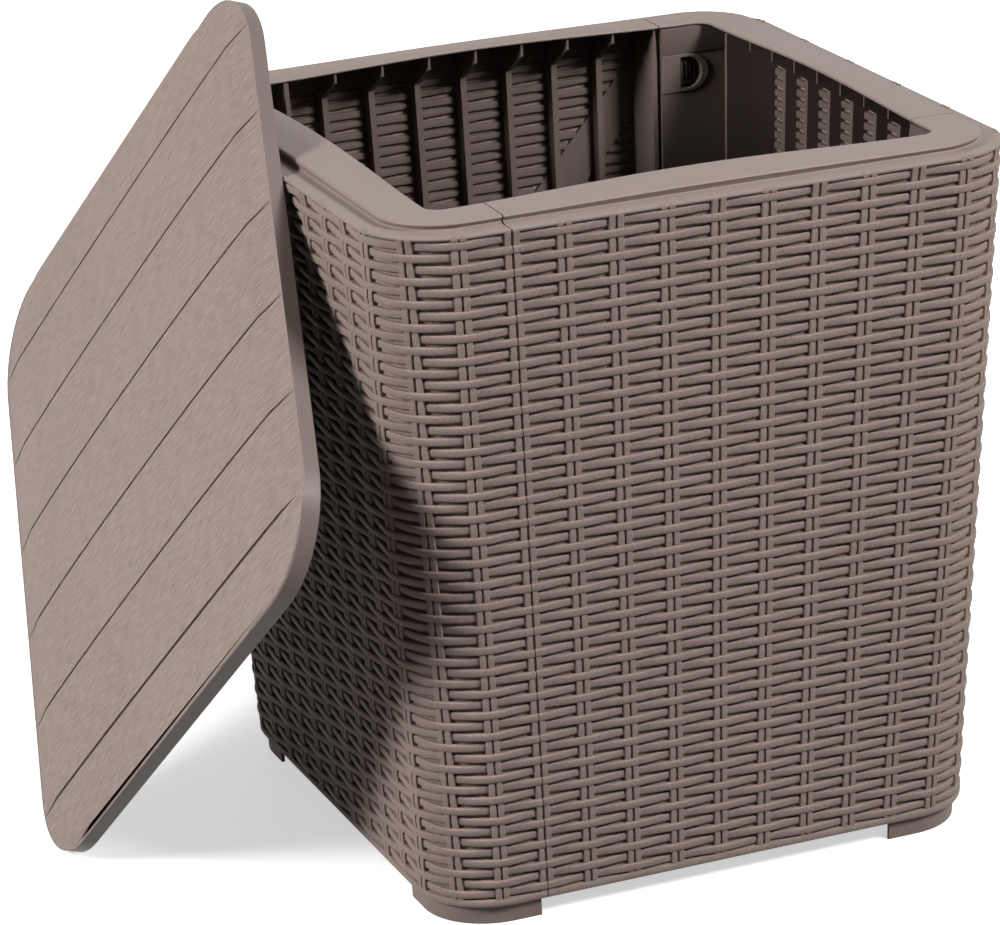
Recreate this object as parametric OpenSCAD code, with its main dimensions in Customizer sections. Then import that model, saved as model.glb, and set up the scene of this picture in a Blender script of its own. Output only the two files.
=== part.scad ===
// Deck box side table: a tapered box moulded to look woven, with its lift-off
// plank lid standing on edge against the left face. Millimetres, +Z up, front face
// at -Y. The origin is the centre of the box's footprint on the ground.
// Four alike wall mouldings turn round the box like a pinwheel: each one covers a
// face and wraps the corner at the end of it, up to a seam on the next face. Every
// moulding is drawn as the sub-parts that it is moulded with, so that each of them
// is a simple solid. Each sub-part is drawn for the front face, and turned for the
// other three.

/* [Box] */
// Width across the woven faces at the top row
box_w = 410; // [380:5:440]
// Corner radius of the woven faces at the top row
corner_r = 52; // [45:1:60]
// Lean of every face, in degrees: the box narrows downward
draft_angle = 3.03; // [0:0.1:4]
// Thickness of the moulded wall behind the stakes
wall_t = 4; // [3:0.5:6]
// Joint line that shows outside, between one moulding and the next
seam_gap = 0.6; // [0.2:0.1:1.5]
// Gap inside, between a moulding's end flange and the next corner box
flange_gap = 2.6; // [1:0.2:5]
// Gap between the sub-parts that one moulding is drawn as
part_gap = 0.1; // [0.05:0.05:0.4]

/* [Weave] */
// Rows of woven strands up a face
rows = 60; // [50:1:66]
// Height of one row
row_h = 7; // [6:0.1:8]
// Pairs of stakes along one side, from corner middle to corner middle
side_pairs = 12; // [12:2:16]
// Pairs from the middle of a corner to a seam
seam_pair = 2; // [2:1:3]
// Width of a pair of stakes, over both
pair_w = 9.2; // [7:0.2:12]
// Slit between the two stakes of a pair
slit_w = 1.3; // [0.8:0.1:3]
// How far the stakes stand out from the wall
stake_relief = 1; // [0.5:0.1:2]
// Plain hem under the lowest row
hem_h = 5.2; // [3:0.2:8]

/* [Feet] */
// Height of the corner feet under the hem
foot_h = 12.4; // [8:0.2:20]
// Set-back of a foot from the stakes
foot_inset = 5; // [2:0.5:10]
// Set-back of a foot's ends from the ends of its corner box
foot_end = 2; // [0.5:0.5:8]
// Thickness of a foot's walls and web
foot_t = 2.4; // [2:0.2:4]

/* [Rim] */
// Thickness of the ledge that the lid sits on
ledge_t = 1.8; // [1.5:0.1:4]
// Width of the ledge, outer edge to rail
ledge_w = 12.5; // [9:0.5:16]
// Height of the rail over the ledge
rail_h = 5.2; // [4:0.2:8]
// Corner radius of the rail's outer edge
rail_r = 38; // [30:1:46]
// Depth of the whole rim, outer edge to inner edge
rim_depth = 42.6; // [36:0.2:48]
// Corner radius of the rim's inner edge
rim_inner_r = 8.8; // [6:0.2:20]
// Thickness of the rail's skin, on top and on its outer side
rail_t = 2.4; // [2:0.2:4]
// Rise of the rim's inner edge at the middle of a side
crown_in = 3.6; // [0.5:0.2:6]
// Rise of the rail's outer edge at the middle of a side
crown_out = 1; // [0.2:0.1:2]

/* [Inside] */
// Thickness of a rib
rib_t = 4; // [2.5:0.5:6]
// Depth of a rib, wall to inner edge
rib_d = 11; // [8:0.5:16]
// Height of the gusset that carries the rim at the top of a rib
gusset_h = 15; // [10:1:30]
// Thickness of a gusset at its tip, under the rim
gusset_tip_t = 1.8; // [1.2:0.2:3]
// Thickness of a moulding's end flange
flange_t = 3; // [2:0.5:5]
// Thickness of the smooth liner that closes a corner box
liner_t = 3; // [2:0.5:4]

/* [Corner locks] */
// Drop of the upper and the lower lock, rim to lock middle
lock_drops = [33, 330];
// Distance from a corner box's end to the straight side of its lock pocket
lock_in = 13.8; // [12:0.1:16]
// Width of the lock pocket, straight side to the top of its round
lock_w = 15; // [12:0.5:16]
// Radius of the round end of the lock pocket
lock_r = 10.2; // [8:0.1:12]
// Height of the tongue that reaches into the pocket
tongue_h = 18; // [12:1:20]
// Thickness of the tongue
tongue_t = 2.5; // [2:0.5:3]
// Clearance of the tongue in its slot and behind the liner
tongue_gap = 0.8; // [0.4:0.1:1.5]
// Slots moulded through the tongue's tip
tongue_slots = 5; // [2:1:6]
// Width of one of those slots
tongue_slot_w = 1.4; // [1:0.2:2]

/* [Floor] */
// Thickness of the floor panel
floor_t = 4; // [3:0.5:6]
// Clearance round the floor panel
floor_gap = 1; // [0.5:0.1:2]
// Width of the lip that carries the ribs and the edge of the floor panel
lip_w = 20; // [16:1:26]
// Thickness of that lip
lip_t = 3.4; // [2:0.2:5]

/* [Lid] */
// Width of the square lid
lid_w = 418; // [414:1:424]
// Corner radius of the lid
lid_r = 58; // [50:1:62]
// Height of the lid's side
lid_h = 12; // [12:0.2:18]
// Thickness of the lid's deck
deck_t = 3; // [2.6:0.2:4]
// Rise of the deck's middle over its edges, which sheds the rain
deck_crown = 5; // [1:0.5:8]
// Width of the skirt that sits on the ledge
skirt_w = 12; // [10:0.5:14]
// Planks moulded across the deck
planks = 7; // [4:1:9]
// Width of the outermost plank on each side
edge_plank_w = 44; // [30:1:60]
// Width of a groove between planks
groove_w = 2.4; // [1:0.2:4]
// Depth of a groove between planks
groove_d = 1.4; // [0.6:0.1:2]
// Depth of the stiffening ribs under the deck
lid_rib_d = 8; // [4:0.5:8.5]
// Thickness of those ribs
lid_rib_t = 2.5; // [2:0.5:4]
// Stiffening ribs that run across the planks
cross_ribs = 7; // [2:1:9]
// Clearance of the ribs inside the rim's inner edge
lid_rib_gap = 8; // [4:1:14]

/* [Lid at rest] */
// Lean of the lid from upright, in degrees
lid_lean = 17.35; // [12:0.05:25]
// Turn of the planks in the lid's plane, in degrees
lid_spin = 48.1; // [40:0.05:50]
// Place of the lid's middle along the box's left face
lid_y = 66.4; // [20:0.1:80]
// Gap between the leaning lid and the ledge
lid_gap = 0.3; // [0.2:0.1:1]

/* [Hidden] */
SIDES = ["front", "right", "back", "left"];
weave_colour = [0.50, 0.44, 0.39];
rim_colour = [0.64, 0.58, 0.53];
inside_colour = [0.40, 0.35, 0.31];
lid_colour = [0.63, 0.56, 0.51];

// Heights
z_hem = foot_h + hem_h;
z_top = z_hem + rows * row_h;
z_ref = z_top - row_h / 2;
z_ledge = z_top + ledge_t;
z_rail = z_ledge + rail_h;
z_lip = z_hem - lip_t;
z_floor = z_hem + part_gap;

// Plan sizes, all at the top row
half = box_w / 2;
straight = half - corner_r;
corner_arc = corner_r * PI / 4;
pitch = (2 * straight + 2 * corner_arc) / side_pairs;
mid_pair = side_pairs / 2;
seam_x = (mid_pair - seam_pair) * pitch;
wall_face = half - stake_relief;
wall_r = corner_r - stake_relief;
wall_back = wall_face - wall_t;
wall_back_r = wall_r - wall_t;
stake_root = 0.5;
half_ledge = half * scale_at(z_ledge);
seam_ledge = seam_x * scale_at(z_ledge);
inner_half = half_ledge - rim_depth;
rail_half = half_ledge - ledge_w;
z_end = z_top - part_gap;
z_under_rail = z_rail - rail_t - part_gap;
rail_hollow = (rail_half - rail_t) / scale_at(z_under_rail) - part_gap;
lip_edge = 1;
tip_inset = 0.2;
overcut = 1;
crown_edge = 0.4;
crown_root = 0.6;
crown_length = 0.88 * (inner_half - rim_inner_r);
gusset_d = wall_back - part_gap - inner_half - lip_edge;
z_shoulder = z_end - gusset_h;
flange_d = [gusset_d * scale_at(z_floor), gusset_d * scale_at(z_shoulder)];
liner_end = seam_x + flange_gap / 2;
lock_x = liner_end + lock_in;
far = box_w;

// The leaning lid: its middle is set by standing on the ground and leaning on the ledge
lid_half = lid_w / 2;
lid_reach = (lid_half - lid_r) * (cos(lid_spin) + sin(lid_spin)) + lid_r;
lid_z = lid_reach * cos(lid_lean) + lid_h * sin(lid_lean);
lid_stand_off = (lid_h + lid_gap + sin(lid_lean) * (z_ledge - lid_z)) / cos(lid_lean);
lid_x = -half_ledge - lid_stand_off;
plank_w = (lid_w - 2 * edge_plank_w) / (planks - 2);
lid_rib_half = inner_half - lid_rib_gap;
// Rings of the deck's crown, as shares of the lid's size and of the crown's rise
crown_rings = [[1, 0], [0.76, 0.6], [0.45, 1]];
corner_steps = 12;
squareness = 8;

// Share of its top-row size that the plan has at height z
function scale_at(z) = 1 - tan(draft_angle) * (z_ref - z) / half;

// Place of stake pair k along the front face
function pair_x(k) = (k - mid_pair) * pitch;

// Rise of the rim's crown at share u of a side: flat at both ends
function crown_at(u) = 16 * pow(u * (1 - u), 2);

// Solid through a list of like outlines, each with the same number of points, which
// run anticlockwise as seen from the end that the list runs to
module loft(outlines) {
    n = len(outlines[0]);
    last = len(outlines) - 1;
    sides = [for (i = [0:last - 1], j = [0:n - 1])
        for (tri = [[0, n + 1, 1], [0, n, n + 1]])
            [for (t = tri) let (up = t >= n ? 1 : 0, step = t - up * n)
                (i + up) * n + (j + step) % n]];
    bottom = [[for (j = [0:n - 1]) j]];
    top = [[for (j = [n - 1:-1:0]) last * n + j]];
    polyhedron([for (o = outlines, p = o) p], concat(sides, bottom, top));
}

// Square with round corners, about the middle
module rounded(h, r) {
    square([2 * h, 2 * (h - r)], center = true);
    square([2 * (h - r), 2 * h], center = true);
    for (x = [-1, 1], y = [-1, 1])
        translate([x * (h - r), y * (h - r)])
            circle(r);
}

// A plan drawn at the top row's size, run from z0 to z1 with the box's taper
module tapered(z0, z1) {
    translate([0, 0, z0])
        linear_extrude(height = z1 - z0, scale = scale_at(z1) / scale_at(z0))
            scale(scale_at(z0))
                children();
}

// The corner of the plan that one moulding wraps, from end_a on its own face
// to end_b on the next
module corner_mask(end_a, end_b) {
    translate([end_a, -far])
        square([far - end_a, far - end_b]);
}

// The band between two rounded squares
module band(outer_h, outer_r, inner_h, inner_r) {
    difference() {
        rounded(outer_h, outer_r);
        rounded(inner_h, inner_r);
    }
}

// Turns a drawing for the front into the one for side number i
module on_side(i) {
    rotate(90 * i)
        children();
}

// A place on the outline of the stakes at pair k, with +X pointing outward
module at_pair(k) {
    d = (k - side_pairs) * pitch;
    if (abs(d) <= corner_arc)
        translate([straight, -straight])
            rotate(-45 + d / corner_r * 180 / PI)
                translate([corner_r, 0])
                    children();
    else if (d < 0)
        translate([straight + d + corner_arc, -half])
            rotate(-90)
                children();
    else
        translate([half, -straight + d - corner_arc])
            children();
}

// One or both stakes of a pair: side -1 is the first one met, +1 the second
module stakes(sides_drawn) {
    stake_w = (pair_w - slit_w) / 2;
    for (s = sides_drawn)
        translate([-(stake_relief + stake_root) / 2, s * (slit_w + stake_w) / 2])
            square([stake_relief + stake_root, stake_w], center = true);
}

// Flat woven panel of one face, from its seam to its corner box
module wall(i) {
    color(weave_colour)
        on_side(i) {
            tapered(foot_h, z_end) {
                translate([-seam_x + seam_gap / 2, -wall_face])
                    square([2 * seam_x - seam_gap / 2 - part_gap, wall_t]);
                for (k = [seam_pair + 1:side_pairs - seam_pair - 1])
                    at_pair(k)
                        stakes([-1, 1]);
                at_pair(seam_pair)
                    stakes([1]);
                at_pair(side_pairs - seam_pair)
                    stakes([-1]);
            }
            floor_lip();
        }
}

// Lip along the foot of a wall, under its ribs and the edge of the floor panel
module floor_lip() {
    start = -seam_x + flange_gap;
    tapered(z_lip, z_hem)
        translate([start, -wall_back - stake_root])
            square([seam_x - part_gap - start, lip_w + stake_root]);
}

// Woven skin that wraps the corner, up to the next face's seam
module corner_skin(i) {
    color(weave_colour)
        on_side(i)
            tapered(foot_h, z_end) {
                intersection() {
                    band(wall_face, wall_r, wall_back, wall_back_r, $fn = 64);
                    corner_mask(seam_x + part_gap, seam_x + seam_gap / 2);
                }
                for (k = [side_pairs - seam_pair + 1:side_pairs + seam_pair - 1])
                    at_pair(k)
                        stakes([-1, 1]);
                at_pair(side_pairs - seam_pair)
                    stakes([1]);
                at_pair(side_pairs + seam_pair)
                    stakes([-1]);
            }
}

// Smooth liner of a corner box, up to the wall's top and on into the hollow rail
module corner_liner(i) {
    color(inside_colour)
        on_side(i)
            difference() {
                union() {
                    tapered(foot_h, z_end)
                        liner_plan(wall_back - part_gap, wall_back_r - part_gap);
                    tapered(z_end, z_under_rail)
                        liner_plan(rail_hollow, rail_r - rail_t - part_gap);
                }
                for (drop = lock_drops)
                    lock_pocket(z_rail - drop);
            }
}

// Plan of the liner: a panel across the inner side, an end wall by the seam, and the
// deep flange at the near end, which stands clear of the panel
module liner_plan(outer_h, outer_r) {
    difference() {
        intersection() {
            rounded(outer_h, outer_r, $fn = 64);
            corner_mask(inner_half, liner_end);
        }
        corner_mask(inner_half + liner_t, liner_end + liner_t);
    }
    translate([seam_x + part_gap, -outer_h])
        square([liner_t, outer_h - inner_half]);
}

// Pocket through the liner, round at its far end, and the slot in the end wall
module lock_pocket(z) {
    s = scale_at(z);
    flat_w = lock_w - lock_r;
    through = (inner_half + 2 * liner_t) * s;
    translate([0, -lock_x * s, z]) {
        intersection() {
            translate([0, -flat_w, 0])
                rotate([0, 90, 0])
                    cylinder(h = far, r = lock_r, $fn = 48);
            translate([0, -lock_w, -lock_r])
                cube([through, lock_r, 2 * lock_r]);
        }
        translate([0, -flat_w, -lock_r])
            cube([through, flat_w, 2 * lock_r]);
    }
    slot_h = tongue_h + 2 * tongue_gap;
    slot_d = tongue_t + 2 * tongue_gap;
    translate([(inner_half + liner_t) * s, -(liner_end + 2 * liner_t) * s, z - slot_h / 2])
        cube([slot_d, 3 * liner_t * s, slot_h]);
}

// Tongues on the moulding's end flange, behind the next corner's lock pockets
module lock_tongues(i) {
    color(inside_colour)
        on_side(i)
            for (drop = lock_drops)
                tongue(z_rail - drop);
}

module tongue(z) {
    s = scale_at(z);
    root = (seam_x - flange_gap / 2) * scale_at(z + tongue_h / 2) + part_gap;
    tip = lock_x * s + lock_w;
    slot_pitch = lock_w / tongue_slots;
    bottom = z - tongue_h / 2;
    difference() {
        translate([-tip, -(inner_half + liner_t) * s - tongue_gap - tongue_t, bottom])
            cube([tip - root, tongue_t, tongue_h]);
        for (n = [0:tongue_slots - 1])
            translate([-lock_x * s - (n + 0.5) * slot_pitch, -far / 2, z])
                cube([tongue_slot_w, far, tongue_h - 2 * tongue_t], center = true);
    }
}

// Ribs up the inside of the wall, and the flange that ends the moulding at its seam:
// all of them reach up into the hollow rail
module ribs(i) {
    color(inside_colour)
        on_side(i) {
            for (k = [seam_pair + 1:side_pairs - seam_pair - 1])
                upright(pair_x(k), rib_t, [rib_d, rib_d]);
            upright(-seam_x + (flange_gap + flange_t) / 2, flange_t, flange_d);
        }
}

// Upright plate on the inside of the wall. Its two depths are those at the floor and
// at its shoulder, from which it widens to the depth of a gusset.
module upright(x, thick, depths) {
    top = wall_back - part_gap - rail_hollow + crown_edge;
    tip = gusset_tip_t - 2 * tip_inset;
    tip_d = gusset_d - tip_inset;
    loft([
        upright_outline(x, thick, z_floor, 0, depths[0], 0),
        upright_outline(x, thick, z_shoulder, 0, depths[1], 0),
        upright_outline(x, gusset_tip_t, z_end, 0, gusset_d, 0),
        upright_outline(x, tip, z_end, top, tip_d, 0),
        upright_outline(x, tip, z_under_rail, top, tip_d, 1)
    ]);
}

// Outline of an upright at height z, between two distances inward from the wall. It
// follows the rim's crown where rise is 1.
function upright_outline(x, thick, z, from, to, rise) = let (
        s = scale_at(z),
        y = -(wall_back - part_gap) * s
    ) [
        for (p = [[-1, from], [1, from], [1, to], [-1, to]])
            [x * s + p[0] * thick / 2, y + p[1], z + rise * crown_rise(x, y + p[1])]
    ];

// Ledge and rail of all four mouldings, before the seams part them
module rim_ring() {
    difference() {
        union() {
            translate([0, 0, z_top])
                linear_extrude(ledge_t)
                    rounded(half_ledge, corner_r);
            translate([0, 0, z_top])
                linear_extrude(ledge_t + rail_h)
                    rounded(rail_half, rail_r);
            for (i = [0:3])
                on_side(i)
                    crown(0);
        }
        translate([0, 0, z_top - overcut])
            linear_extrude(far)
                rounded(inner_half, rim_inner_r);
        translate([0, 0, z_top - overcut])
            linear_extrude(z_rail - rail_t - z_top + overcut)
                rounded(rail_half - rail_t, rail_r - rail_t);
        for (i = [0:3])
            on_side(i)
                crown(rail_t);
    }
}

// Rise of the rim's crown at place x, y of the front
function crown_rise(x, y) = let (
        u = (1 + x / (inner_half - rim_inner_r)) / 2,
        share = (rail_half + y) / (rail_half - inner_half)
    ) crown_at(u) * (crown_out + (crown_in - crown_out) * share);

// Swell on top of the rail: its inner edge rises most, at the middle of the side.
// Set in from the rail's skin and lowered by it, it hollows the rail out.
module crown(skin) {
    steps = 12;
    y_out = -rail_half + crown_edge + skin;
    y_in = -inner_half + overcut;
    root = z_rail - crown_root - skin;
    loft([for (n = [0:steps]) let (x = crown_length * (2 * n / steps - 1)) [
            [x, y_out, root],
            [x, y_in, root],
            [x, y_in, z_rail - skin + crown_rise(x, y_in)],
            [x, y_out, z_rail - skin + crown_rise(x, y_out)]
        ]]);
}

// One moulding's share of the rim
module rim(i) {
    color(rim_colour)
        on_side(i)
            intersection() {
                rim_ring($fn = 96);
                translate([-seam_ledge + seam_gap / 2, -far, z_top - overcut])
                    cube([2 * far, far - seam_ledge - seam_gap / 2, far]);
            }
}

// Angled foot under a corner box: a channel that is open below and at both ends
module foot(i) {
    web_z = foot_h - foot_t - part_gap;
    color(weave_colour)
        on_side(i)
            difference() {
                tapered(0, foot_h - part_gap)
                    intersection() {
                        band(half - foot_inset, corner_r - foot_inset, inner_half, rim_inner_r, $fn = 64);
                        corner_mask(seam_x + foot_end, liner_end + foot_end);
                    }
                translate([0, 0, -overcut])
                    linear_extrude(web_z + overcut)
                        scale(scale_at(0))
                            band(half - foot_inset - foot_t, corner_r - foot_inset - foot_t,
                                inner_half + foot_t, rim_inner_r + foot_t, $fn = 64);
            }
}

// Floor panel, dropped in from above onto the lips: it ends at the ribs and the
// flanges, and is notched for the corner boxes
module floor_panel() {
    s = scale_at(z_floor);
    arm = (seam_x - flange_gap / 2 - flange_t) * s - floor_gap;
    reach = (wall_back - part_gap) * s - rib_d - floor_gap;
    body = inner_half * s - floor_gap;
    color(inside_colour)
        translate([0, 0, z_floor])
            linear_extrude(floor_t) {
                square([2 * arm, 2 * reach], center = true);
                square([2 * reach, 2 * arm], center = true);
                rounded(body, rim_inner_r, $fn = 48);
            }
}

// Puts the lid, drawn flat with its top face at z = 0, where it stands
module lid_place() {
    translate([lid_x, lid_y, lid_z])
        rotate([90 - lid_lean, 0, -90])
            rotate(lid_spin)
                children();
}

// Place of groove n across the planks
function groove_y(n) = -lid_half + edge_plank_w + n * plank_w;

// Share of the lid's size at which its outline would pass through place x, y
function lid_share(x, y) =
    pow(pow(abs(x), squareness) + pow(abs(y), squareness), 1 / squareness) / lid_half;

// Rise of the crowned deck at place x, y of the lid
function deck_rise(x, y) = deck_crown * lookup(lid_share(x, y), crown_rings);

// Outline of the lid at height z, drawn at a share of its size
function lid_outline(share, z) = [
    for (c = [0:3], n = [0:corner_steps]) let (
        a = 90 * (c + n / corner_steps),
        side = [[1, 1], [-1, 1], [-1, -1], [1, -1]][c]
    ) [
        share * (side[0] * (lid_half - lid_r) + lid_r * cos(a)),
        share * (side[1] * (lid_half - lid_r) + lid_r * sin(a)),
        z
    ]
];

// Flat bar that runs along X, of the given width, between two heights. The high side
// follows the deck's crown at the place across the lid, and so does the low side,
// where low_rise is 1.
module crowned_bar(across, width, half_length, low, high, low_rise) {
    steps = 20;
    xs = [for (n = [0:steps]) half_length * (2 * n / steps - 1)];
    translate([0, width / 2, 0])
        rotate([90, 0, 0])
            linear_extrude(width)
                polygon(concat(
                    [for (x = xs) [x, low + low_rise * deck_rise(x, across)]],
                    [for (n = [steps:-1:0]) [xs[n], high + deck_rise(xs[n], across)]]
                ));
}

// Plank deck of the lid: a crowned shell, with a groove between each two planks
module lid_deck() {
    color(lid_colour)
        lid_place()
            difference() {
                loft(concat(
                    [for (n = [2, 1])
                        lid_outline(crown_rings[n][0], deck_crown * crown_rings[n][1] - deck_t)],
                    [lid_outline(1 - skirt_w / lid_half, -deck_t), lid_outline(1, -deck_t)],
                    [for (ring = crown_rings) lid_outline(ring[0], deck_crown * ring[1])]
                ));
                for (n = [0:planks - 2])
                    translate([0, groove_y(n), 0])
                        crowned_bar(groove_y(n), groove_w, lid_half + overcut, -groove_d, overcut, 1);
            }
}

// Skirt round the lid, which sits on the box's ledge when the lid is on
module lid_skirt() {
    color(lid_colour)
        lid_place()
            translate([0, 0, -lid_h])
                linear_extrude(lid_h - deck_t - part_gap)
                    band(lid_half, lid_r, lid_half - skirt_w, lid_r - skirt_w, $fn = 96);
}

// Place of cross rib n along the planks
function cross_rib_x(n) = (2 * n / (cross_ribs - 1) - 1) * (lid_rib_half - lid_rib_t / 2);

// Ribs under the deck: one behind each inner groove, and a few higher ones across them
module lid_ribs() {
    low = -deck_t - lid_rib_d;
    color(lid_colour)
        lid_place() {
            for (n = [0:planks - 2])
                if (abs(groove_y(n)) < lid_rib_half)
                    translate([0, groove_y(n), 0])
                        crowned_bar(groove_y(n), lid_rib_t, lid_rib_half, low, -deck_t - 3 * part_gap, 0);
            for (n = [0:cross_ribs - 1])
                translate([cross_rib_x(n), 0, 0])
                    rotate(90)
                        crowned_bar(cross_rib_x(n), lid_rib_t, lid_rib_half, low, -deck_t - part_gap, 0);
        }
}

for (i = [0:3]) {
    wall(i);
    corner_skin(i);
    corner_liner(i);
    rim(i);
    ribs(i);
    foot(i);
    lock_tongues(i);
}
floor_panel();
lid_deck();
lid_skirt();
lid_ribs();
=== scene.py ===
"""Looks for the deck box side table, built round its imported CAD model.

The four wall mouldings are alike, so each one is drawn once, for the front face,
and turned. Lengths of the object are in millimetres, and become metres in add_piece.
The floor, the lights and the camera are placed in metres.
"""
import math
import random

import bpy
import numpy as np
from mathutils import Matrix, Vector


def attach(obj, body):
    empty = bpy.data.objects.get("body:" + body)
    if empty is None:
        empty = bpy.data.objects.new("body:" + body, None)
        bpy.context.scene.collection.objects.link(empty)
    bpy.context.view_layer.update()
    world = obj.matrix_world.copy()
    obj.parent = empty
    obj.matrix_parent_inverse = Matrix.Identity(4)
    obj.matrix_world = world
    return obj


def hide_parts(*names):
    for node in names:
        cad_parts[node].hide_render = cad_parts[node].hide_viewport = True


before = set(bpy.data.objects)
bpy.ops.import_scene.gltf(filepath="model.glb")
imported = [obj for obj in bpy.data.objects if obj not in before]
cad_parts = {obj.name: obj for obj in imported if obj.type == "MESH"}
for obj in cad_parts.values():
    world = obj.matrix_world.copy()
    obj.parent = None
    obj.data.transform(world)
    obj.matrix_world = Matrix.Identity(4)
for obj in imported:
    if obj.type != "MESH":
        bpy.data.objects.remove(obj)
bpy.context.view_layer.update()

MM = 0.001
SIDES = ("front", "right", "back", "left")

# Plan sizes at the top row, and heights, as in the CAD source
HALF = 205.0
CORNER_R = 52.0
STRAIGHT = HALF - CORNER_R
CORNER_ARC = CORNER_R * math.pi / 4
FACE_LEAN = math.radians(3.03)
TAPER = math.tan(FACE_LEAN) / HALF
Z_FOOT = 12.4
Z_LIP = 14.2
Z_HEM = 17.6
Z_REF = 434.1
Z_TOP = 437.6
Z_LEDGE = 439.4
ROWS = 60
ROW_H = 7.0
SIDE_PAIRS = 12
SEAM_PAIR = 2
MID_PAIR = SIDE_PAIRS / 2
PITCH = (2 * STRAIGHT + 2 * CORNER_ARC) / SIDE_PAIRS
SEAM_X = (MID_PAIR - SEAM_PAIR) * PITCH
SEAM_GAP = 0.6
WALL_BACK = 200.0
HALF_LEDGE = 205.28
RIM_DEPTH = 42.6
INNER_HALF = HALF_LEDGE - RIM_DEPTH


def clamp(value):
    return min(max(value, 0), 1)


def plan_scale(z):
    """Share of its top-row size that the plan has at height z."""
    return 1 - TAPER * (Z_REF - z)


def outline(k):
    """Points and outward normals on the woven outline at places k, in stake pairs."""
    k = np.asarray(k, float)
    d = (k - SIDE_PAIRS) * PITCH
    ang = np.radians(-45) + np.clip(d, -CORNER_ARC, CORNER_ARC) / CORNER_R
    ang = np.where(d < -CORNER_ARC, -np.pi / 2, np.where(d > CORNER_ARC, 0, ang))
    nx, ny = np.cos(ang), np.sin(ang)
    x = STRAIGHT + CORNER_R * nx + np.minimum(d + CORNER_ARC, 0)
    y = -STRAIGHT + CORNER_R * ny + np.maximum(d - CORNER_ARC, 0)
    return np.stack([x, y], -1), np.stack([nx, ny], -1)


def on_wall(k, z, level):
    """Points at places k and heights z that stand level outside the woven outline."""
    k, z, level = np.broadcast_arrays(k, z, level)
    p, n = outline(k)
    xy = p * plan_scale(z)[..., None] + n * level[..., None]
    return np.concatenate([xy, z[..., None]], -1)


class Mesh:
    """Gathers vertices and faces, with a material number for each face."""

    def __init__(self):
        self.verts = []
        self.faces = []
        self.marks = []
        self.count = 0

    def add(self, verts, faces, marks=None):
        verts = np.asarray(verts, float).reshape(-1, 3)
        self.verts.append(verts)
        for f in faces:
            self.faces.append(tuple(int(i) + self.count for i in f))
        self.marks += marks or [0] * len(faces)
        self.count += len(verts)

    def tube(self, rings, loop=False):
        """A tube through rings of points, closed at its ends or on itself. Each ring
        runs anticlockwise, seen from the end that the list runs to."""
        rings = np.asarray(rings, float)
        n, m = rings.shape[:2]
        faces = []
        for i in range(n if loop else n - 1):
            a, b = i * m, (i + 1) % n * m
            for j in range(m):
                q = (j + 1) % m
                faces.append((a + j, a + q, b + q, b + j))
        if not loop:
            faces.append(tuple(range(m - 1, -1, -1)))
            faces.append(tuple(range((n - 1) * m, n * m)))
        self.add(rings, faces)


def add_piece(name, mesh, materials, body, side, sharp, replaces=(), place=None):
    """Makes the object of a Mesh, turned for its side, and lets it ride on a body."""
    data = bpy.data.meshes.new(name)
    verts = np.concatenate(mesh.verts) * MM
    if place is not None:
        verts = verts @ np.array(place.to_3x3()).T + np.array(place.translation)
    data.from_pydata(verts.tolist(), [], mesh.faces)
    data.polygons.foreach_set("material_index", mesh.marks)
    data.polygons.foreach_set("use_smooth", [True] * len(mesh.faces))
    data.set_sharp_from_angle(angle=math.radians(sharp))
    for m in materials:
        data.materials.append(m)
    data.update()
    obj = bpy.data.objects.new(name, data)
    bpy.context.scene.collection.objects.link(obj)
    obj.matrix_world = Matrix.Rotation(math.pi / 2 * side, 4, "Z")
    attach(obj, body)
    if replaces:
        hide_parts(*replaces)


# The lid leans on the left face: middle of its face, lean from upright, and turn in its plane
LID_C = Vector((-273.4434, 66.4, 262.4714))
LID_LEAN = math.radians(17.35)
LID_SPIN = math.radians(48.1)


def lid_matrix():
    turn = Matrix.Rotation(-math.pi / 2, 4, "Z") @ Matrix.Rotation(math.pi / 2 - LID_LEAN, 4, "X")
    return Matrix.Translation(LID_C * MM) @ turn @ Matrix.Rotation(LID_SPIN, 4, "Z")


# Materials. Fine speckles, as scale a metre, detail and roughness of their noise, and the
# scales of wider changes of hue and of a slow drift
FINE = (1100, 3, 0.7)
WIDE_SCALE = 420
SLOW_SCALE = 14
HUES = [(0.34, (0.93, 1.0, 0.98)), (0.5, (1.0, 1.0, 1.0)), (0.66, (1.03, 0.93, 0.95))]
DRIFT = [(0.3, (0.955, 0.955, 0.95)), (0.7, (1.0, 1.0, 1.0))]
SPECKLE_FROM = 0.36
SPECKLE_TO = 0.64
ROUGH_SPREAD = 0.07
# Strengths of both bumps, and the height of the wide one as a share of the grain
FINE_BUMP = 0.6
WIDE_BUMP = 0.4
WIDE_GRAIN = 1.5
WHITE = (1, 1, 1, 1)


def new_material(name):
    mat = bpy.data.materials.new(name)
    mat.use_nodes = True
    nodes = mat.node_tree.nodes
    return mat, nodes, mat.node_tree.links, nodes["Principled BSDF"]


def noise(nodes, links, vector, scale, detail=2.0, rough=0.5):
    n = nodes.new("ShaderNodeTexNoise")
    n.inputs["Scale"].default_value = scale
    n.inputs["Detail"].default_value = detail
    n.inputs["Roughness"].default_value = rough
    links.new(vector, n.inputs["Vector"])
    return n.outputs["Fac"]


def ramp(nodes, links, value, stops):
    r = nodes.new("ShaderNodeValToRGB")
    links.new(value, r.inputs["Fac"])
    e = r.color_ramp.elements
    while len(e) < len(stops):
        e.new(0.5)
    for el, (pos, col) in zip(e, stops):
        el.position = pos
        el.color = (*col, 1)
    return r.outputs["Color"]


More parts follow.
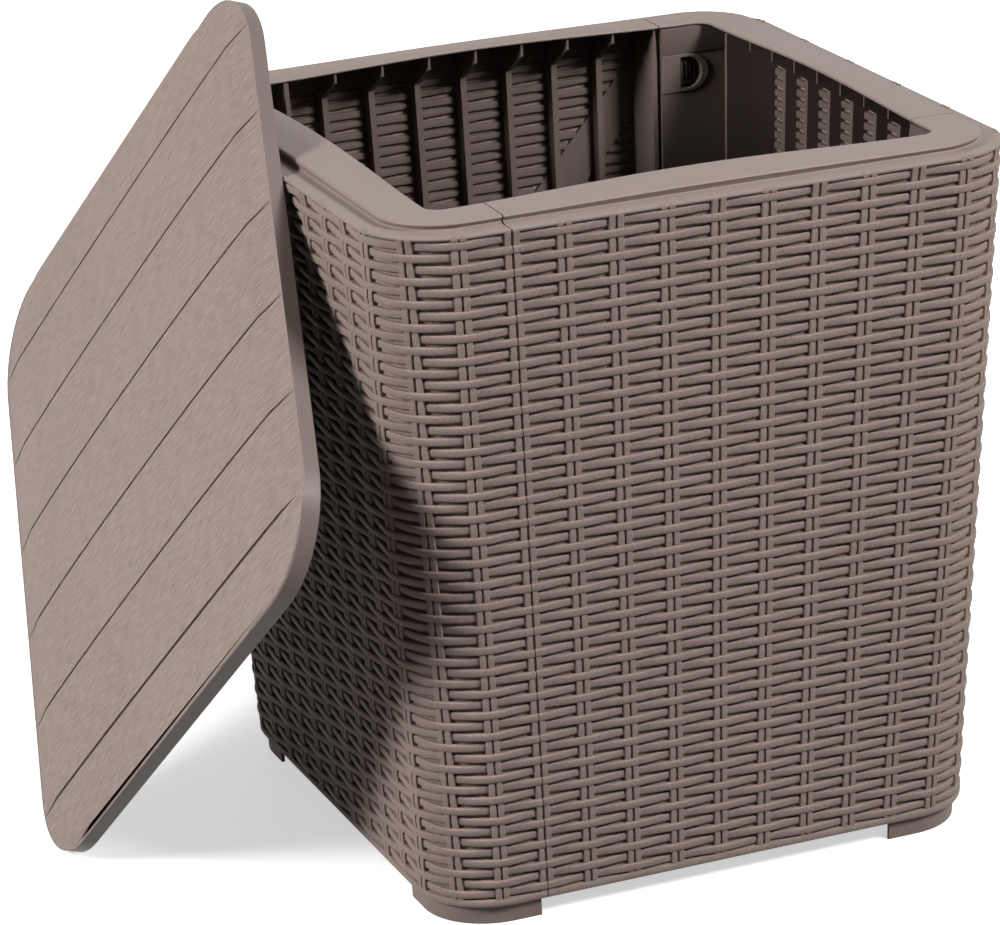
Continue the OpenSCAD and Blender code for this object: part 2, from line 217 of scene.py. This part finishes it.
def multiply(nodes, links, a, b):
    m = nodes.new("ShaderNodeMix")
    m.data_type = "RGBA"
    m.blend_type = "MULTIPLY"
    m.inputs["Factor"].default_value = 1.0
    links.new(a, m.inputs["A"])
    links.new(b, m.inputs["B"])
    return m.outputs["Result"]


def bump(nodes, links, height, strength, distance, normal=None):
    b = nodes.new("ShaderNodeBump")
    b.inputs["Strength"].default_value = strength
    b.inputs["Distance"].default_value = distance * MM
    links.new(height, b.inputs["Height"])
    if normal:
        links.new(normal, b.inputs["Normal"])
    return b.outputs["Normal"]


def map_range(nodes, links, value, to_min, to_max, from_min=0.0, from_max=1.0):
    m = nodes.new("ShaderNodeMapRange")
    m.inputs["From Min"].default_value = from_min
    m.inputs["From Max"].default_value = from_max
    m.inputs["To Min"].default_value = to_min
    m.inputs["To Max"].default_value = to_max
    links.new(value, m.inputs["Value"])
    return m.outputs["Result"]


def seen_rays(nodes, links):
    """1 for camera rays and for glossy rays, 0 for the rest."""
    path = nodes.new("ShaderNodeLightPath")
    seen = nodes.new("ShaderNodeMath")
    seen.operation = "MAXIMUM"
    links.new(path.outputs["Is Camera Ray"], seen.inputs[0])
    links.new(path.outputs["Is Glossy Ray"], seen.inputs[1])
    return seen.outputs[0]


def lid_grain(nodes, links, coord, stretch):
    """Coordinates in the lid's own frame, scaled by stretch."""
    turned = nodes.new("ShaderNodeMapping")
    turned.inputs["Rotation"].default_value = lid_matrix().inverted().to_euler()
    links.new(coord, turned.inputs["Vector"])
    drawn = nodes.new("ShaderNodeMapping")
    drawn.inputs["Scale"].default_value = stretch
    links.new(turned.outputs["Vector"], drawn.inputs["Vector"])
    return drawn.outputs["Vector"]


def resin(name, colour, speckle, rough, grain, shine, stretch=None):
    """Moulded resin: a base colour with fine speckles, slow changes of tint, and a
    grain in millimetres, which is stretched along the lid's planks by stretch."""
    mat, nodes, links, bsdf = new_material(name)
    coord = nodes.new("ShaderNodeTexCoord").outputs["Object"]
    coord_fine = lid_grain(nodes, links, coord, stretch) if stretch else coord
    fine = noise(nodes, links, coord_fine, *FINE)
    wide = noise(nodes, links, coord, WIDE_SCALE)
    slow = noise(nodes, links, coord, SLOW_SCALE)
    spots = ramp(nodes, links, fine, [
        (at, tuple(c * share for c in colour))
        for at, share in ((SPECKLE_FROM, 1 - speckle), (SPECKLE_TO, 1 + speckle))])
    col = multiply(nodes, links, spots, ramp(nodes, links, wide, HUES))
    col = multiply(nodes, links, col, ramp(nodes, links, slow, DRIFT))
    links.new(col, bsdf.inputs["Base Color"])
    gloss = map_range(nodes, links, fine, rough - ROUGH_SPREAD, rough + ROUGH_SPREAD)
    links.new(gloss, bsdf.inputs["Roughness"])
    normal = bump(nodes, links, fine, FINE_BUMP, grain)
    normal = bump(nodes, links, wide, WIDE_BUMP, grain * WIDE_GRAIN, normal)
    links.new(normal, bsdf.inputs["Normal"])
    bsdf.inputs["Specular IOR Level"].default_value = shine
    return mat


# Name, colour, speckle, roughness, grain and shine
weave_mat = resin("weave_resin", (0.262, 0.202, 0.175), 0.2, 0.62, 0.12, 0.12)
rim_mat = resin("rim_resin", (0.236, 0.188, 0.165), 0.05, 0.50, 0.03, 0.2)
# The inside resin is the walls' resin painted darker: painted shade for the inside of the box
inside_painted_shade_mat = resin("inside_resin_painted_shade", (0.140, 0.108, 0.093), 0.05, 0.45, 0.04, 0.12)
plank_mat = resin("plank_resin", (0.272, 0.212, 0.187), 0.3, 0.55, 0.12, 0.15, (0.06, 1.3, 0.0))
foot_mat = resin("foot_resin", (0.215, 0.166, 0.144), 0.06, 0.55, 0.03, 0.12)
lid_side_mat = resin("lid_side_resin", (0.170, 0.132, 0.120), 0.04, 0.42, 0.02, 0.2)

# Woven walls. One moulding goes from its seam to the next one, in stake pairs
K_FIRST = SEAM_PAIR + SEAM_GAP / 2 / PITCH
K_LAST = SIDE_PAIRS + SEAM_PAIR - SEAM_GAP / 2 / PITCH
# A strand's levels over and under a stake pair, and its section: how far each point
# stands out from the strand, and its height as a share of the strand's own
OVER = 0.1
UNDER = -2.0
STRAND_H = 4.65
STRAND = [(-3.6, 0.45), (-1.6, 0.5), (-0.7, 0.48), (-0.12, 0.34), (0.0, 0.22), (0.0, -0.36),
          (-0.3, -0.48), (-1.1, -0.5), (-3.6, -0.46)]
# Places within a pair where a strand has a ring, and the share at each end that is level
STEPS = (0.0, 0.16, 0.28, 0.39, 0.5, 0.61, 0.72, 0.84)
LEAVES = 0.15
LINEAR_SHARE = 0.75
# Unevenness of the strands: up or down in millimetres, and share of the height
SEED = 7
WANDER = 0.12
SPREAD = 0.03
# Stakes, two to a pair with a slit between them, swelling where a strand goes under.
# The section gives places as a share of the width, and levels
STAKE_W = 4.05
SLIT = 1.3
STAKE_SHIFT = (SLIT + STAKE_W) / 2 / PITCH
STAKE_LEVEL = -0.75
STAKE_SWELL = 0.35
STAKE = [(-0.5, -3.4), (-0.5, -0.4), (-0.4, -0.05), (0.0, 0.0), (0.4, -0.05), (0.5, -0.4),
         (0.5, -3.4)]
Z_STAKE = Z_HEM - 1.0
Z_STAKE_END = Z_TOP - 0.5
Z_STAKE_TIP = [Z_TOP - 0.4, Z_TOP + 0.7, Z_LEDGE - 0.55]
TIP_FROM = Z_TOP - 2.5
TIP_RUN = 2.0
TIP_LEVEL = -0.7
TIP_SHARE = 0.6
# The sheet behind the weave and the plain hem along the foot, as heights and levels
STRIP_STEPS = 61
SHEET = [(Z_FOOT, -5.0), (Z_TOP, -5.0), (Z_TOP, -4.0), (Z_FOOT, -4.0)]
HEM = [(Z_HEM - 0.2, -4.5), (Z_HEM - 0.2, -1.6), (Z_HEM - 0.5, -0.8), (Z_HEM - 1.3, -0.4),
       (Z_FOOT + 1.5, -0.4), (Z_FOOT + 0.5, -0.8), (Z_FOOT, -1.6), (Z_FOOT, -4.5)]
LIP_W = 20.0
LIP_ROOT = 1.2


def strand_level(k, row):
    """How far a row's strand stands out at places k: over one pair, under the next."""
    pair = np.floor(k)
    over_first = (row + pair) % 2 == 1
    share = np.clip((k - pair - LEAVES) / (1 - 2 * LEAVES), 0, 1)
    ease = LINEAR_SHARE * share + (1 - LINEAR_SHARE) * (0.5 - 0.5 * np.cos(np.pi * share))
    down = np.where(over_first, ease, 1 - ease)
    return OVER + (UNDER - OVER) * down


def wall_strip(mesh, section):
    """A strip all along the moulding, with a section of heights and levels."""
    ks = np.linspace(K_FIRST, K_LAST, STRIP_STEPS)
    z, level = np.array(section).T
    mesh.tube(on_wall(ks[:, None], z, level))


def weave_mesh():
    rnd = random.Random(SEED)
    mesh = Mesh()
    places = [K_FIRST]
    for pair in range(SEAM_PAIR, SIDE_PAIRS + SEAM_PAIR):
        places += [pair + s for s in STEPS if K_FIRST < pair + s < K_LAST]
    places = np.array(places + [K_LAST])
    strand = np.array(STRAND)
    for row in range(ROWS):
        z = Z_REF - ROW_H * row
        wander = np.array([rnd.uniform(-WANDER, WANDER) for _ in places])
        height = STRAND_H * (1 + np.array([rnd.uniform(-SPREAD, SPREAD) for _ in places]))
        radial = strand_level(places, row)[:, None] + strand[None, :, 0]
        zs = z + wander[:, None] + height[:, None] * strand[None, :, 1]
        mesh.tube(on_wall(places[:, None], zs, radial))
    # only the near stake of the seam's pair is on this moulding
    stake = np.array(STAKE)
    zs = np.concatenate([np.arange(Z_STAKE, Z_STAKE_END, ROW_H / 2), Z_STAKE_TIP])
    wide = np.full(len(zs), STAKE_W)
    wide[-1] = STAKE_W * TIP_SHARE
    fade = 1 - np.clip((zs - TIP_FROM) / TIP_RUN, 0, 1)
    for pair in range(SEAM_PAIR, SIDE_PAIRS + SEAM_PAIR + 1):
        for sign in (-1, 1):
            if (pair, sign) in ((SEAM_PAIR, -1), (SIDE_PAIRS + SEAM_PAIR, 1)):
                continue
            phase = (Z_REF - zs) / ROW_H + pair
            level = fade * (STAKE_LEVEL + STAKE_SWELL * np.cos(np.pi * phase))
            level[-1] = TIP_LEVEL
            ks = pair + sign * STAKE_SHIFT + stake[None, :, 0] * wide[:, None] / PITCH
            mesh.tube(on_wall(ks, zs[:, None], level[:, None] + stake[None, :, 1]))
    wall_strip(mesh, SHEET)
    wall_strip(mesh, HEM)
    # lip inside, along the foot, under the ribs and the edge of the floor panel
    lip = ((LIP_W, Z_HEM), (-LIP_ROOT, Z_HEM), (-LIP_ROOT, Z_LIP), (LIP_W, Z_LIP))
    mesh.tube([[(x * plan_scale(z), (d - WALL_BACK) * plan_scale(z), z) for d, z in lip]
               for x in (SEAM_GAP - SEAM_X, SEAM_X - SEAM_GAP)])
    return mesh


weave = weave_mesh()
for i, side in enumerate(SIDES):
    add_piece(f"weave_{side}", weave, [weave_mat], "box", i, sharp=28,
              replaces=(f"wall_{side}", f"corner_skin_{side}"))

# Rim: a section of depths in from the ledge's edge, and heights. It goes over the ledge,
# up the cove and the rounded nose, over the rail, and back below the hollow rail
RIM_R = 52.3
RIM_GAP = 1.0
RIM = [(3.0, 437.3), (0.9, 437.3), (0.4, 437.7), (0.1, 438.5), (0.25, 439.1), (0.8, 439.4),
       (10.6, 439.4), (12.1, 439.5), (13.2, 439.8), (14.0, 440.3), (14.3, 440.9), (14.1, 441.5),
       (13.5, 442.1), (13.0, 442.8), (12.8, 443.4), (13.1, 444.0), (13.8, 444.5), (14.8, 444.6),
       (27.0, 444.6), (41.2, 444.6), (42.2, 444.3), (42.6, 443.6), (42.4, 442.9), (41.6, 442.6),
       (40.0, 442.4), (16.4, 442.2), (15.4, 441.4), (15.2, 437.6)]
# Rise of the crowned rail at its middle, at its outer and inner edge. It starts at Z_CROWN,
# and ends CROWN_SHORT before the inner corners
CROWN_OUT = 1.0
CROWN_IN = 3.6
CROWN_D = (12.9, 41.0)
Z_CROWN = 442
CROWN_SHORT = 8.8
# Rings along the face, round the corner, and from there to the seam
FACE_RINGS = 28
CORNER_RINGS = 19
END_RINGS = 4
# Bumps over the ledge's edge: heights with shares of their full size, their half width as
# a share of a stake's, and their levels
BUMP = [(Z_LEDGE - 0.4, 1.0), (Z_LEDGE + 0.35, 0.9), (Z_LEDGE + 0.6, 0.5)]
BUMP_W = 0.36
BUMP_LEVEL = -1.6
BUMP_REACH = 1.1


def stake_tops(mesh):
    """Small bumps where the stakes run out over the ledge's edge."""
    half = STAKE_W * BUMP_W / PITCH
    for pair in range(SEAM_PAIR + 1, SIDE_PAIRS + SEAM_PAIR, 2):
        for k in (pair - STAKE_SHIFT, pair + STAKE_SHIFT):
            rings = []
            for z, share in BUMP:
                ks = k + half * share * np.array([-1, 1, 1, -1])
                level = BUMP_LEVEL + BUMP_REACH * share * np.array([1, 1, -1, -1])
                rings.append(on_wall(ks, z, level))
            mesh.tube(rings)


def rim_mesh():
    mesh = Mesh()
    stake_tops(mesh)
    c = HALF_LEDGE - RIM_R
    reach = INNER_HALF - CROWN_SHORT
    seam = SEAM_X * plan_scale(Z_LEDGE)
    stations = [((x, -c), (0, -1)) for x in np.linspace(-seam + RIM_GAP / 2, c, FACE_RINGS)]
    for a in np.radians(np.linspace(-90, 0, CORNER_RINGS))[1:]:
        stations.append(((c, -c), (math.cos(a), math.sin(a))))
    stations += [((c, y), (1, 0)) for y in np.linspace(-c, -seam - RIM_GAP / 2, END_RINGS)[1:]]
    rings = []
    for (px, py), (nx, ny) in stations:
        along = px if ny == -1 else py if nx == 1 else -reach
        u = clamp((along + reach) / (2 * reach))
        # from 0 at both ends to 1 in the middle
        rise = 16 * (u * (1 - u)) ** 2
        ring = []
        for d, z in RIM[::-1]:
            share = clamp((d - CROWN_D[0]) / (CROWN_D[1] - CROWN_D[0]))
            lift = rise * (CROWN_OUT + (CROWN_IN - CROWN_OUT) * share) if z > Z_CROWN else 0
            out = RIM_R - d
            ring.append((px + nx * out, py + ny * out, z + lift))
        rings.append(ring)
    mesh.tube(rings)
    return mesh


rim = rim_mesh()
for i, side in enumerate(SIDES):
    add_piece(f"rim_top_{side}", rim, [rim_mat], "box", i, sharp=32,
              replaces=(f"rim_{side}",))

# Relief inside: bars between the ribs, with thin slots and wedge-shaped ones by turns
RIB_T = 4.0
BAY_GAP = 0.1
FLANGE_GAP = 2.4
BAR_D = 3.2
# Edge of a bar, as heights in from it and depths
BAR_EDGE = [(0.0, -0.5), (0.15, BAR_D - 0.6), (0.5, BAR_D - 0.25)]
LEAST_BAR = 1.5
FIRST_BAR_ROW = 2
THIN_SLOT = 2.2
WEDGE_SLOT = 3.5
Z_RELIEF = 24.0
# A smooth band crosses the ribbed wall: places on its upper and lower line, on the
# wall's own X, and their slope
BAND_UPPER = (-117.3, 410.1)
BAND_LOWER = (-122.0, 375.0)
BAND_SLOPE = -1.1
# How far the root of a relief goes into the face that carries it
ROOT = 0.4
# The upper lock pocket of the corner box: middle of its flat part, half of that part's
# length, and its radius. A raised pad with a rounded end goes round it
LINER_END = SEAM_X + 1.3
PAD_GAP = 0.3
POCKET = (144.3, 411.6)
POCKET_FLAT = 4.8
POCKET_R = 10.2
POCKET_GAP = 0.2
PAD_HALF = 12.7
PAD_REACH = 20.5
PAD_D = 1.2
PAD_RINGS = 72
# Edges of the pad, as distances from the pocket's and from the pad's outline, and depths
PAD_INNER = [(0.0, -ROOT), (0.0, PAD_D - 0.3), (0.3, PAD_D)]
PAD_OUTER = [(0.7, PAD_D), (0.1, PAD_D - 0.5), (0.0, -ROOT)]
# An outline is searched for up to FAR from the pocket's middle, in this many halvings
FAR = 40.0
HALVINGS = 24
# The step above the pad: its far end and its section
STEP_END = 176.0
STEP_FOOT = POCKET[1] + PAD_HALF
STEP = [(STEP_FOOT, -ROOT), (STEP_FOOT + 0.1, 0.8), (STEP_FOOT + 0.5, 1.0), (441.6, 1.0),
        (441.8, -ROOT)]


def inside_wall(x, z, depth):
    """Point on the inner face of the front wall, standing depth in from it."""
    scale = plan_scale(z)
    return (x * scale, -WALL_BACK * scale + depth, z)


def on_liner(u, z, depth):
    """Point on the corner box's inner face, u along it, standing depth in from it."""
    scale = plan_scale(z)
    return (INNER_HALF * scale - depth, -u * scale, z)


def band_z(line, x):
    return line[1] + (x - line[0]) * BAND_SLOPE


def band_x(line, z):
    return line[0] + (z - line[1]) / BAND_SLOPE


def bar(mesh, x0, x1, low, high):
    """Bar along the wall between x0 and x1, with its low and high edges at each end."""
    rings = []
    for x, z0, z1 in zip((x0, x1), low, high):
        section = [(z0 + h, depth) for h, depth in BAR_EDGE] + [((z0 + z1) / 2, BAR_D)]
        section += [(z1 - h, depth) for h, depth in BAR_EDGE[::-1]]
        rings.append([inside_wall(x, z, depth) for z, depth in section])
    mesh.tube(rings)


def relief_mesh():
    mesh = Mesh()
    for pair in range(SEAM_PAIR, SIDE_PAIRS - SEAM_PAIR):
        left = (pair - MID_PAIR) * PITCH + RIB_T / 2 + BAY_GAP
        right = (pair + 1 - MID_PAIR) * PITCH - RIB_T / 2 - BAY_GAP
        if pair == SEAM_PAIR:
            left += FLANGE_GAP
        for row in range(FIRST_BAR_ROW, ROWS):
            z = Z_REF - ROW_H * row
            if z < Z_RELIEF:
                continue
            widening = (WEDGE_SLOT - THIN_SLOT) * ((row + pair) % 2) / (right - left)
            base = z - (ROW_H - THIN_SLOT) / 2
            top = z + (ROW_H - THIN_SLOT) / 2
            for x0, x1 in ((left, min(right, band_x(BAND_LOWER, z))),
                           (max(left, band_x(BAND_UPPER, z)), right)):
                if x1 - x0 >= LEAST_BAR:
                    low = [base + widening * (right - x) for x in (x0, x1)]
                    bar(mesh, x0, x1, low, (top, top))
        # the smooth band in this bay
        low = [band_z(BAND_LOWER, x) for x in (left, right)]
        high = [band_z(BAND_UPPER, x) for x in (left, right)]
        if min(low) > Z_RELIEF:
            bar(mesh, left, right, low, high)
    return mesh


def edge_distance(angle, inside):
    """Distance from the pocket's middle to an outline, given as an inside test."""
    near, far = 0.0, FAR
    for _ in range(HALVINGS):
        mid = (near + far) / 2
        if inside(mid * math.cos(angle), mid * math.sin(angle)):
            near = mid
        else:
            far = mid
    return near


def pad_mesh():
    """Raised pad round the upper lock pocket of the corner box, and the step above it."""
    mesh = Mesh()
    centre = POCKET[0] + POCKET_FLAT
    left = LINER_END + PAD_GAP - centre

    def in_pocket(u, v):
        hole = POCKET_R + POCKET_GAP
        return (u > -POCKET_FLAT - POCKET_GAP and abs(v) < hole
                and (u < 0 or math.hypot(u, v) < hole))

    def in_pad(u, v):
        if u < 0:
            return u > left and abs(v) < PAD_HALF
        return (u / (PAD_REACH - POCKET_FLAT)) ** 2 + (v / PAD_HALF) ** 2 < 1

    rings = []
    for step in range(PAD_RINGS):
        angle = -2 * math.pi * step / PAD_RINGS
        near = edge_distance(angle, in_pocket)
        far = edge_distance(angle, in_pad)
        section = [(near + edge, depth) for edge, depth in PAD_INNER]
        section += [(far - edge, depth) for edge, depth in PAD_OUTER]
        rings.append([on_liner(centre + reach * math.cos(angle),
                               POCKET[1] + reach * math.sin(angle), depth)
                      for reach, depth in section])
    mesh.tube(rings, loop=True)
    mesh.tube([[on_liner(u, z, depth) for z, depth in STEP]
               for u in (LINER_END + PAD_GAP, STEP_END)])
    return mesh


relief = relief_mesh()
pads = pad_mesh()
for i, side in enumerate(SIDES):
    # the relief and the pads inside take the inside resin, whose darker colour is painted shade
    add_piece(f"relief_{side}", relief, [inside_painted_shade_mat], "box", i, sharp=20)
    add_piece(f"lock_pad_{side}", pads, [inside_painted_shade_mat], "box", i, sharp=30)

# Lid, in its own frame: planks along X, with its face at height 0 at the edges
LID_HALF = 209.0
LID_R = 58.0
DECK_CROWN = 5.0
CROWN_ALONG = 2.6
CROWN_ACROSS = 2
PLANKS = 7
EDGE_PLANK = 44.0
GROOVE_W = 1.7
GROOVE_D = 2.6
# Places across a groove, as shares of its half width, and which of them are its floor
GROOVE_PLACES = (-1, -0.55, 0.55, 1)
GROOVE_FLOOR = 0.6
LID_CORNER_RINGS = 15
# Depths in from the lid's edge, and heights. Those above Z_DECK follow the crown
EDGE = [(2.2, 0.0), (1.2, -0.18), (0.5, -0.6), (0.1, -1.3), (0.0, -2.2)]
UNDERSIDE = [(0.0, -11.6), (0.4, -12.0), (11.6, -12.0), (12.0, -11.6), (12.0, -3.0)]
Z_DECK = -2.1
# Rings from the top that have the planks' material, and columns of the deck's grid
PLANK_RINGS = 3
COLUMNS = 16


def deck_rise(x, y):
    """Rise of the crowned deck: nothing at the edges, most over the middle."""
    along = min(abs(x) / LID_HALF, 1) ** CROWN_ALONG
    across = min(abs(y) / LID_HALF, 1) ** CROWN_ACROSS
    return DECK_CROWN * (1 - along) * (1 - across)


def lid_stations():
    """Stations round the lid, up its right-hand half and down its left-hand one: centre,
    normal, and the depth of the groove there, or None round the corners."""
    c = LID_HALF - LID_R
    plank_w = (2 * LID_HALF - 2 * EDGE_PLANK) / (PLANKS - 2)
    grooves = [-LID_HALF + EDGE_PLANK + n * plank_w for n in range(PLANKS - 1)]
    marks = [(g + share * GROOVE_W / 2, GROOVE_D if abs(share) < GROOVE_FLOOR else 0.0)
             for g in grooves for share in GROOVE_PLACES]
    marks += [(g + plank_w / 2, 0.0) for g in grooves[:-1]]
    for a in np.radians(np.linspace(0, 90, LID_CORNER_RINGS)):
        reach = c + LID_R * math.sin(a)
        marks += [(reach, None), (-reach, None)]
    right = []
    for y, depth in sorted(marks, key=lambda m: m[0]):
        over = clamp((abs(y) - c) / LID_R)
        normal = (math.sqrt(1 - over ** 2), math.copysign(over, y))
        right.append(((c, min(max(y, -c), c)), normal, depth))
    left = [((-at[0], at[1]), (-normal[0], normal[1]), depth)
            for at, normal, depth in right[::-1]]
    return right + left


def lid_rings(loop):
    """Rings of the edge and the underside. In a ring above Z_DECK the height carries on
    from station to station, so past its first groove it keeps to the groove's depth."""
    rings = []
    for d, z in EDGE + UNDERSIDE:
        out = LID_R - d
        ring = []
        for (px, py), (nx, ny), depth in loop:
            x, y = px + nx * out, py + ny * out
            if depth is not None and z > Z_DECK and abs(ny) > 0:
                y = py + ny * LID_R
                x = px + math.copysign(math.sqrt(out ** 2 - (y - py) ** 2), nx)
            if z > Z_DECK:
                z = min(z, -(depth or 0)) + deck_rise(x, y)
            ring.append((x, y, z))
        rings.append(ring)
    return rings


def lid_mesh():
    mesh = Mesh()
    loop = lid_stations()
    rings = lid_rings(loop)
    m = len(loop)
    n = m // 2
    faces, marks = [], []
    for i in range(len(rings) - 1):
        for j in range(m):
            q = (j + 1) % m
            faces.append((i * m + j, (i + 1) * m + j, (i + 1) * m + q, i * m + q))
            marks.append(0 if i < PLANK_RINGS else 1)
    # the deck: a grid of columns between the right and left ends of each station
    last = (len(rings) - 1) * m
    first_inner = len(rings) * m
    inner = []
    for j in range(n):
        x_end, y, _ = rings[0][j]
        for col in range(1, COLUMNS):
            x = x_end * (1 - 2 * col / COLUMNS)
            inner.append((x, y, deck_rise(x, y) - (loop[j][2] or 0)))

    def on_deck(j, col):
        if col == 0:
            return j
        return m - 1 - j if col == COLUMNS else first_inner + j * (COLUMNS - 1) + col - 1

    for j in range(n - 1):
        for col in range(COLUMNS):
            faces.append((on_deck(j, col), on_deck(j + 1, col),
                          on_deck(j + 1, col + 1), on_deck(j, col + 1)))
            marks.append(0)
        faces.append((last + j + 1, last + j, last + m - 1 - j, last + m - 2 - j))
        marks.append(1)
    mesh.add([v for ring in rings for v in ring] + inner, faces, marks)
    return mesh


add_piece("lid_top", lid_mesh(), [plank_mat, lid_side_mat], "lid", 0, sharp=28,
          replaces=("lid_deck", "lid_skirt"), place=lid_matrix())

# Nodes carried over from the CAD, by the start of their names
# The parts inside the box take the inside resin, darkened as painted shade
CARRIED = {"corner_liner": inside_painted_shade_mat, "ribs": inside_painted_shade_mat, "lock_tongues": inside_painted_shade_mat,
           "floor_panel": inside_painted_shade_mat, "foot": foot_mat, "lid_ribs": lid_side_mat}
for name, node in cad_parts.items():
    for start, mat in CARRIED.items():
        if name.startswith(start):
            node.data.materials.clear()
            node.data.materials.append(mat)

# Floor: a white paper to the camera and to reflections, and dark to the other rays. Its
# glow grows to a full white away from the object, past its shadow
FLOOR_HALF = 12.0
FLOOR_ROUGH = 0.6
GLOW_FROM = 0.8
GLOW_TO = 2.2
GLOW_NEAR = 0.58
GLOW_FAR = 1.0
PAPER_DARK = (0.05, 0.05, 0.05, 1)
PAPER_WHITE = (0.86, 0.86, 0.86, 1)
WORLD_DARK = 0.01
WORLD_WHITE = 1.0

scene = bpy.context.scene
scene.view_settings.view_transform = "Standard"

floor_data = bpy.data.meshes.new("ground")
corners = [(FLOOR_HALF * x, FLOOR_HALF * y, 0) for x, y in ((-1, -1), (1, -1), (1, 1), (-1, 1))]
floor_data.from_pydata(corners, [], [(0, 1, 2, 3)])
floor = bpy.data.objects.new("ground", floor_data)
scene.collection.objects.link(floor)
floor_mat, nodes, links, bsdf = new_material("ground_paper")
bsdf.inputs["Roughness"].default_value = FLOOR_ROUGH
seen = seen_rays(nodes, links)
distance = nodes.new("ShaderNodeVectorMath")
distance.operation = "LENGTH"
links.new(nodes.new("ShaderNodeTexCoord").outputs["Object"], distance.inputs[0])
spread = map_range(nodes, links, distance.outputs["Value"], GLOW_NEAR, GLOW_FAR,
                   GLOW_FROM, GLOW_TO)
glow = nodes.new("ShaderNodeMath")
glow.operation = "MULTIPLY"
links.new(seen, glow.inputs[0])
links.new(spread, glow.inputs[1])
paper = nodes.new("ShaderNodeMix")
paper.data_type = "RGBA"
paper.inputs["A"].default_value = PAPER_DARK
paper.inputs["B"].default_value = PAPER_WHITE
links.new(seen, paper.inputs["Factor"])
links.new(paper.outputs["Result"], bsdf.inputs["Base Color"])
bsdf.inputs["Emission Color"].default_value = WHITE
links.new(glow.outputs[0], bsdf.inputs["Emission Strength"])
floor_data.materials.append(floor_mat)

# World: as the floor, white to the camera and to reflections only
world = bpy.data.worlds.new("studio")
scene.world = world
world.use_nodes = True
nodes, links = world.node_tree.nodes, world.node_tree.links
nodes.clear()
world_out = nodes.new("ShaderNodeOutputWorld")
back = nodes.new("ShaderNodeBackground")
strength = map_range(nodes, links, seen_rays(nodes, links), WORLD_DARK, WORLD_WHITE)
links.new(strength, back.inputs["Strength"])
back.inputs["Color"].default_value = WHITE
links.new(back.outputs["Background"], world_out.inputs["Surface"])


def area(name, place, target, size, power):
    light = bpy.data.lights.new(name, "AREA")
    light.shape = "SQUARE"
    light.size = size
    light.energy = power
    obj = bpy.data.objects.new(name, light)
    obj.location = place
    obj.rotation_euler = (Vector(target) - Vector(place)).to_track_quat("-Z", "Y").to_euler()
    scene.collection.objects.link(obj)


area("key_left", (-3.0, -0.3, 1.8), (-0.1, 0.0, 0.3), 0.8, 112)
area("key_right", (1.45, -2.2, 2.5), (0.0, 0.0, 0.3), 1.0, 133)
area("top", (0.15, 0.1, 3.0), (0.0, 0.0, 0.3), 1.0, 8)

# Camera, with its place and its right and backward directions as fitted to the photo
CAMERA_AT = (-1.03899, -2.45291, 1.15241)
CAMERA_RIGHT = Vector((0.9225, -0.38368, -0.04221)).normalized()
CAMERA_BACK = Vector((-0.34935, -0.8764, 0.33148)).normalized()
CAMERA_UP = CAMERA_BACK.cross(CAMERA_RIGHT).normalized()

camera = bpy.data.cameras.new("camera")
camera.sensor_fit = "HORIZONTAL"
camera.sensor_width = 36.0
camera.lens = 161.03
camera.clip_end = 50.0
eye = bpy.data.objects.new("camera", camera)
turn = Matrix((CAMERA_RIGHT, CAMERA_UP, CAMERA_BACK)).transposed().to_4x4()
eye.matrix_world = Matrix.Translation(CAMERA_AT) @ turn
scene.collection.objects.link(eye)
scene.camera = eye

bpy.context.view_layer.update()
